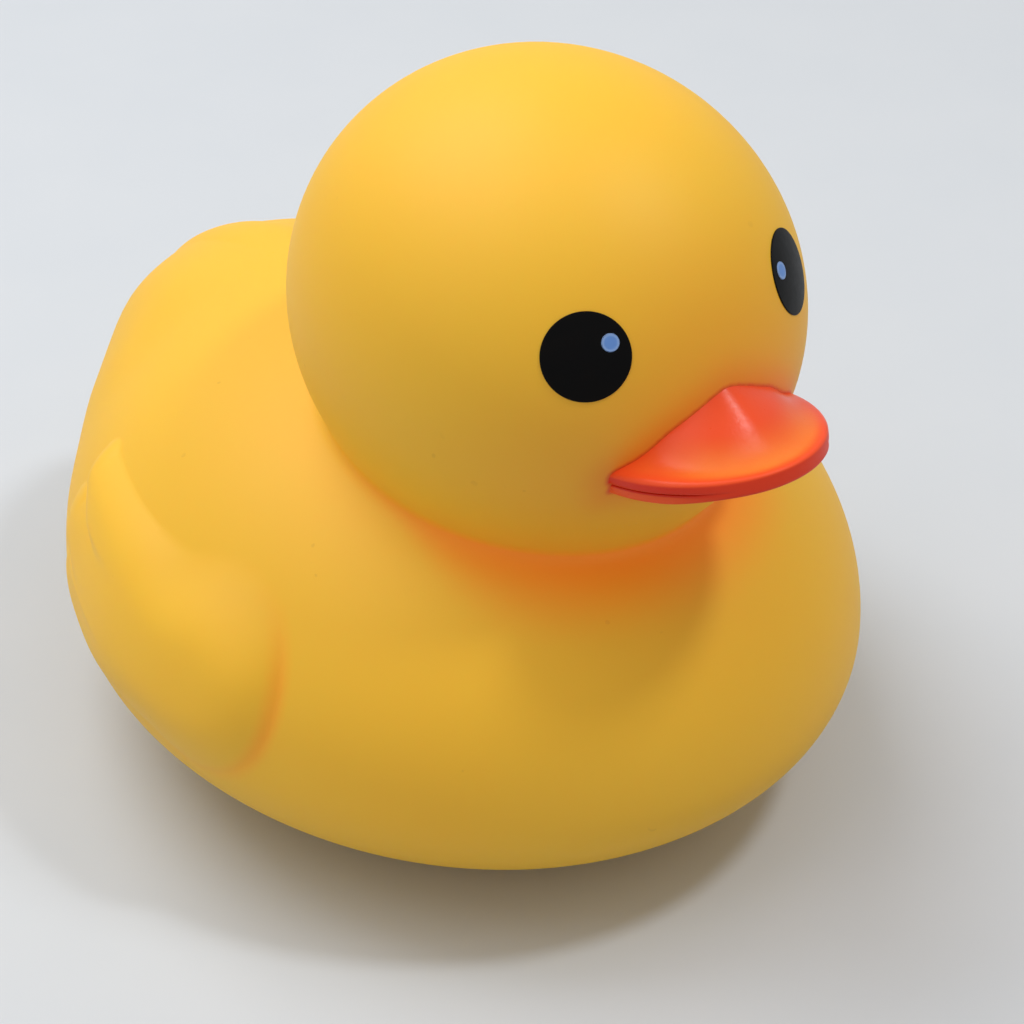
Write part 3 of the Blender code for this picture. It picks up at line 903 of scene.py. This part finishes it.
def bill_paint():
    finish = Finish("bill_paint")
    x, y, z = finish.axes()
    lean = math.cos(BILL_TILT)
    rise = math.sin(BILL_TILT)
    ahead = (y + BILL_CENTRE_FORWARD) * -lean + (z - BILL_CENTRE_HEIGHT) * rise
    above = (y + BILL_CENTRE_FORWARD) * rise + (z - BILL_CENTRE_HEIGHT) * lean
    across = x / BILL_HALF_WIDTH
    forward = ahead / BILL_HALF_LENGTH
    out = (across * across + forward * forward) ** 0.5
    in_dish = finish.ease(out, 0.60, 0.86) * (1 - finish.ease(out, 0.88, 0.98))
    ahead_share = forward / out
    in_front = finish.ease(ahead_share, 0.40, 0.85)
    uneven = finish.ease(finish.noise(90.0, 2.0), 0.3, 0.75)
    paint = finish.mix(in_dish * (0.05 + in_front * 0.65 + uneven * 0.20), PAINT_RED, PAINT_DISH_ORANGE)
    on_rim = 1 - finish.ease(above, RIM_PAINT_FULL, RIM_PAINT_STARTS)
    open_mouth = 1 - finish.ease(ahead_share, MOUTH_FADE_START, MOUTH_FADE_END)
    paint = finish.mix(on_rim * (0.62 + open_mouth * 0.26), paint, PAINT_RIM)
    below_mouth = (1 - finish.ease(above, LOWER_PAINT_FULL, LOWER_PAINT_STARTS)) * open_mouth
    paint = finish.mix(below_mouth * 0.8, paint, PAINT_LOWER)
    grain = finish.noise(1500.0, 3.0)
    finish.set(
        base_color=paint,
        roughness=0.24 + grain * 0.12 + finish.ease(forward, 0.56, 0.80) * 0.16,
        specular_ior_level=0.27,
        normal=finish.bump(grain, 0.00006, 0.45),
        subsurface_weight=0.06,
        subsurface_radius=(1.0, 0.25, 0.1),
        subsurface_scale=0.002,
        metallic=0.0,
    )
    return finish.material


bill.data.materials.append(bill_paint())
print("Bill paint nodes:", len(bill.data.materials[0].node_tree.nodes))

# %% [markdown]
# The ink of the eyes
# The eyes are pad printed: a black that is a little brown where the film is thin, with a satin gloss. The
# dot is a pale print over it, tinted blue by painted light, the cool light that a pale print shows in
# shade;
# it is darker in its middle and lighter in a ring. The ring is a distance from the dot's middle. The
# coordinates lose their signs first, which lets one finish serve both eyes.

# %% Eye inks
INK_BLACK = colour(8, 7, 7)
INK_THIN = colour(15, 11, 9)
# the dot's blue is painted cool light on a pale print
DOT_PAINTED_BLUE_MIDDLE = colour(102, 150, 226)
DOT_PAINTED_BLUE_RING = colour(150, 186, 242)


def eye_ink():
    finish = Finish("eye_ink")
    cover = finish.ease(finish.noise(260.0, 3.0), 0.35, 0.8)
    finish.set(
        base_color=finish.mix(cover * 0.5, INK_BLACK, INK_THIN),
        roughness=0.34 + finish.noise(700.0, 2.0) * 0.12,
        specular_ior_level=0.07,
        normal=finish.bump(finish.noise(2200.0, 1.0), 0.00002, 0.3),
        metallic=0.0,
    )
    return finish.material


def dot_ink():
    finish = Finish("eye_dot_ink")
    middle, to_bill, to_top = eye_frame(1)
    centre = on_head(middle + to_bill * EYE_DOT_INWARD + to_top * EYE_DOT_UP, EYE_DOT_FILM)
    folded = finish.node("ShaderNodeVectorMath", {"operation": "ABSOLUTE"}, {0: finish.place()})
    values = {0: Wire(finish, folded.outputs[0]), 1: [abs(value) for value in centre]}
    measured = finish.node("ShaderNodeVectorMath", {"operation": "DISTANCE"}, values)
    distance = Wire(finish, measured.outputs["Value"])
    ring = finish.ease(distance / EYE_DOT_RADIUS, 0.55, 0.90)
    blotch = finish.noise(1400.0, 2.0)
    finish.set(
        # painted blue light on the pale dot, lighter in a ring
        base_color=finish.mix(ring * (0.7 + blotch * 0.3), DOT_PAINTED_BLUE_MIDDLE, DOT_PAINTED_BLUE_RING),
        roughness=0.40 + blotch * 0.1,
        metallic=0.0,
    )
    return finish.material


ink = eye_ink()
dot_finish = dot_ink()
for piece in eyes:
    piece.data.materials.append(ink)
for piece in dots:
    piece.data.materials.append(dot_finish)
print("Prints:", [piece.name for piece in eyes + dots])

# %% [markdown]
# What each piece stands for
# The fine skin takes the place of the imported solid, which stays in the simulation. The bill, the eyes and
# their dots are part of the same casting, so they ride on the same body.

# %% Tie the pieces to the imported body
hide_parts("duck_shell")
for piece, slot in ((skin, "yellow_vinyl"), (bill, "bill_paint")):
    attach(piece, "root")
for piece in eyes:
    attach(piece, "root")
for piece in dots:
    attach(piece, "root")
print("Pieces:", 2 + len(eyes) + len(dots))

# %% [markdown]
# The floor
# A product picture is taken on a sheet of paper that is large enough to fill the frame. One flat square
# does that here. It is a pale cool grey with a trace of paper grain, so that the duck's yellow stands out.
# White paper would light the belly from below, which the photo doesn't show, so the light that the floor
# sends back to the duck is a little darker than the floor looks.

# %% Pale floor
FLOOR_HALF_SIZE = 3.0
FLOOR_DROP = 0.0002
FLOOR_PALE = colour(214, 222, 232)
FLOOR_SHADE = colour(209, 218, 229)
FLOOR_BOUNCE = colour(184, 192, 202)


def pale_floor():
    mesh = bmesh.new()
    bmesh.ops.create_grid(mesh, x_segments=1, y_segments=1, size=FLOOR_HALF_SIZE)
    floor = object_from(mesh, "studio_floor")
    floor.location.z = -FLOOR_DROP
    finish = Finish("floor_paper")
    paper = finish.mix(finish.noise(30.0, 4.0), FLOOR_PALE, FLOOR_SHADE)
    rays = finish.node("ShaderNodeLightPath", {}, {})
    seen = Wire(finish, rays.outputs["Is Camera Ray"]) + Wire(finish, rays.outputs["Is Glossy Ray"])
    seen = seen + Wire(finish, rays.outputs["Is Transmission Ray"])
    finish.set(base_color=finish.mix(seen, FLOOR_BOUNCE, paper), roughness=0.7)
    floor.data.materials.append(finish.material)
    return floor


floor = pale_floor()
print("Floor:", floor.dimensions[0], "across")

# %% [markdown]
# The light
# In the photo the top of the head and the back are brightest, everything that faces down is much darker,
# and no highlight has an edge. That is one large soft lamp above and behind the duck, with weaker ones over
# its right side, the left of the picture. The head also throws a shadow on the breast, with a fairly clear
# edge, so a smaller lamp is high in front. A sun would give hard edges everywhere. The sky fills the rest
# with a plain warm light, and looks pale where the camera or a gloss sees it.

# %% Soft lamps and sky
LAMP_TARGET = (0, 0, 0.06)
LAMPS = (
    # name, place, size, power
    ("back_lamp", (-0.15, 0.60, 1.00), 0.9, 5.6),
    ("overhead_lamp", (-0.45, 0.15, 1.08), 0.9, 2.15),
    ("left_lamp", (-1.00, 0.10, 0.60), 0.7, 0.5),
    ("right_lamp", (0.37, -0.37, 1.03), 0.18, 2.8),
)
SKY_LIGHT = (0.445, 0.395, 0.335, 1)
SKY_SEEN = (0.66, 0.70, 0.74, 1)


def soft_lamp(name, place, size, power):
    """A round area lamp at its place, turned towards the duck."""
    data = bpy.data.lights.new(name, "AREA")
    data.shape = "DISK"
    data.size = size
    data.energy = power
    lamp = bpy.data.objects.new(name, data)
    lamp.location = place
    lamp.rotation_euler = (Vector(LAMP_TARGET) - Vector(place)).to_track_quat("-Z", "Y").to_euler()
    bpy.context.scene.collection.objects.link(lamp)


for name, place, size, power in LAMPS:
    soft_lamp(name, place, size, power)

sky = bpy.data.worlds.new("studio_sky")
sky.use_nodes = True
sky_nodes = sky.node_tree.nodes
rays = sky_nodes.new("ShaderNodeLightPath")
sky_colour = sky_nodes.new("ShaderNodeMix")
sky_colour.data_type = "RGBA"
sky_colour.inputs[6].default_value = SKY_LIGHT
sky_colour.inputs[7].default_value = SKY_SEEN
sky_seen = rays.outputs["Is Camera Ray"]
for kind in ("Is Glossy Ray", "Is Transmission Ray"):
    either = sky_nodes.new("ShaderNodeMath")
    either.operation = "MAXIMUM"
    sky.node_tree.links.new(sky_seen, either.inputs[0])
    sky.node_tree.links.new(rays.outputs[kind], either.inputs[1])
    sky_seen = either.outputs[0]
sky.node_tree.links.new(sky_seen, sky_colour.inputs[0])
sky.node_tree.links.new(sky_colour.outputs[2], sky_nodes["Background"].inputs["Color"])
bpy.context.scene.world = sky
bpy.context.scene.view_settings.view_transform = "Standard"

# %% [markdown]
# The camera
# The photo looks down on the duck's right front from about half a metre. A camera could be placed by eye,
# but the duck's three sizes, its outline and its eyes give the place: only one fits them all.

# %% Camera
CAMERA_PLACE = Vector((-0.2781, -0.3711, 0.3616))
CAMERA_TARGET = Vector((0.0005, -0.0184, 0.0502))
CAMERA_LENS_MM = 106.6
CAMERA_SENSOR_MM = 36

camera_data = bpy.data.cameras.new("studio_camera")
camera_data.sensor_width = CAMERA_SENSOR_MM
camera_data.lens = CAMERA_LENS_MM
camera = bpy.data.objects.new("studio_camera", camera_data)
camera.location = CAMERA_PLACE
camera.rotation_euler = (CAMERA_TARGET - CAMERA_PLACE).to_track_quat("-Z", "Y").to_euler()
bpy.context.scene.collection.objects.link(camera)
bpy.context.scene.camera = camera
print("Camera", round((CAMERA_TARGET - CAMERA_PLACE).length, 3), "from the duck")
